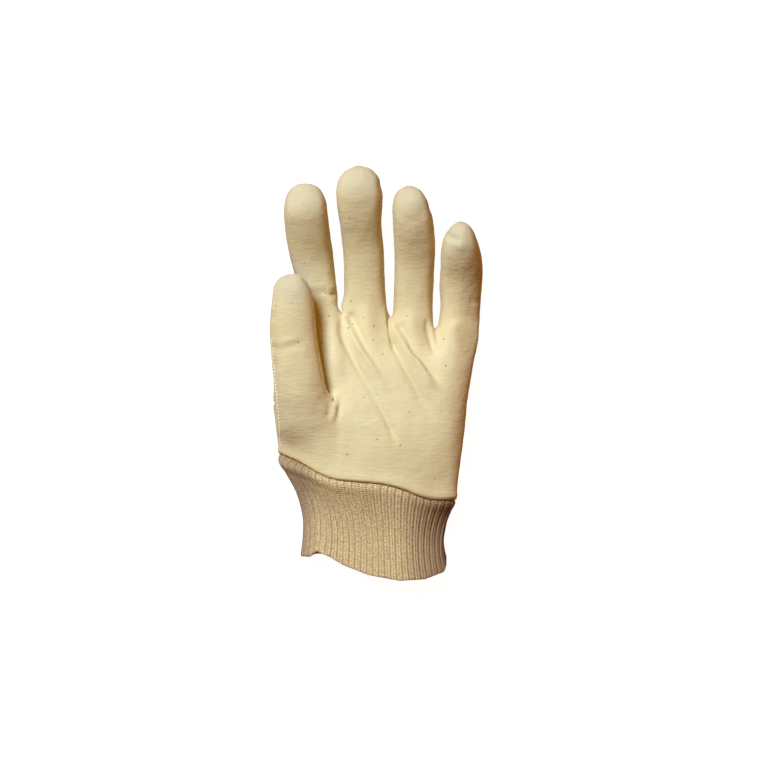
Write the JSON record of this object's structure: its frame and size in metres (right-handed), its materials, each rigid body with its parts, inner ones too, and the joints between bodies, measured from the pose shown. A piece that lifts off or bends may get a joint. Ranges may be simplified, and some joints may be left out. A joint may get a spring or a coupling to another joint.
{
  "type": "work glove",
  "caption": "Left-hand cotton canvas work glove lying on its back, palm up, with a short ribbed knit wrist and the thumb folded over the edge of the palm.",
  "frame": {"origin": "under the middle of the glove's bounding box, on the surface that it lies on", "axes": "+Y towards the fingertips, +Z out of the palm, +X towards the little finger"},
  "size_m": [0.1322, 0.259, 0.0527],
  "materials": {
    "canvas": "unbleached cotton canvas, soft napped, matt",
    "knit": "ribbed cotton knit, beige, matt"
  },
  "bodies": {
    "root": {"palm_panel": "canvas", "back_panel": "canvas", "thumb_back_panel": "canvas", "knit_cuff": "knit"}
  },
  "joints": []
}
